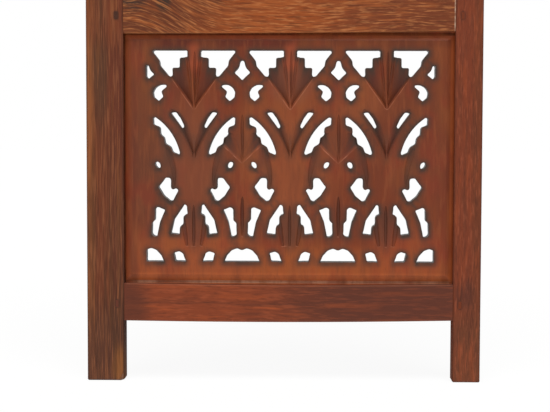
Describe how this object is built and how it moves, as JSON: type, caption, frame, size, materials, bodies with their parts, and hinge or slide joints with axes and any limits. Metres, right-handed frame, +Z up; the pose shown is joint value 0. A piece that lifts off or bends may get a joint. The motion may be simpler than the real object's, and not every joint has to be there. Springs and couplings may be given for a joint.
{
  "type": "folding screen leaf",
  "caption": "End leaf of a carved and pierced jali folding screen: pegged mortise-and-tenon frame holding pierced boards in grooves, with butt hinges for the next leaf.",
  "frame": {"origin": "on the floor, midway across the leaf and midway through its thickness", "axes": "+X across the leaf towards the hinges, +Y from its front face to its back, +Z up"},
  "size_m": [0.5042, 0.0337, 1.62],
  "materials": {
    "stile_wood": "oiled, worn",
    "rail_wood": "oiled, worn",
    "carved_board_wood": "stained red-brown, satin",
    "bamboo_peg": "darkened",
    "brass": "dull, aged"
  },
  "bodies": {
    "leaf": {"left_stile": "stile_wood", "right_stile": "stile_wood", "bottom_rail": "rail_wood", "middle_rail_1": "rail_wood", "middle_rail_2": "rail_wood", "middle_rail_3": "rail_wood", "top_rail": "rail_wood", "carved_board_1": "carved_board_wood", "carved_board_2": "carved_board_wood", "carved_board_3": "carved_board_wood", "carved_board_4": "carved_board_wood", "left_tenon_pegs": "bamboo_peg", "right_tenon_pegs": "bamboo_peg", "lower_hinge_fixed_flap": "brass", "lower_hinge_pin": "brass", "upper_hinge_fixed_flap": "brass", "upper_hinge_pin": "brass"},
    "lower_flap": {"lower_hinge_free_flap": "brass"},
    "upper_flap": {"upper_hinge_free_flap": "brass"}
  },
  "joints": [
    {"name": "lower_hinge", "type": "hinge", "parent": "leaf", "child": "lower_flap", "pos_m": [0.251, 0.017, 0.5665], "axis": [0, 0, 1], "range_deg": [0, 180]},
    {"name": "upper_hinge", "type": "hinge", "parent": "leaf", "child": "upper_flap", "pos_m": [0.251, 0.017, 1.4625], "axis": [0, 0, 1], "range_deg": [0, 180]}
  ]
}
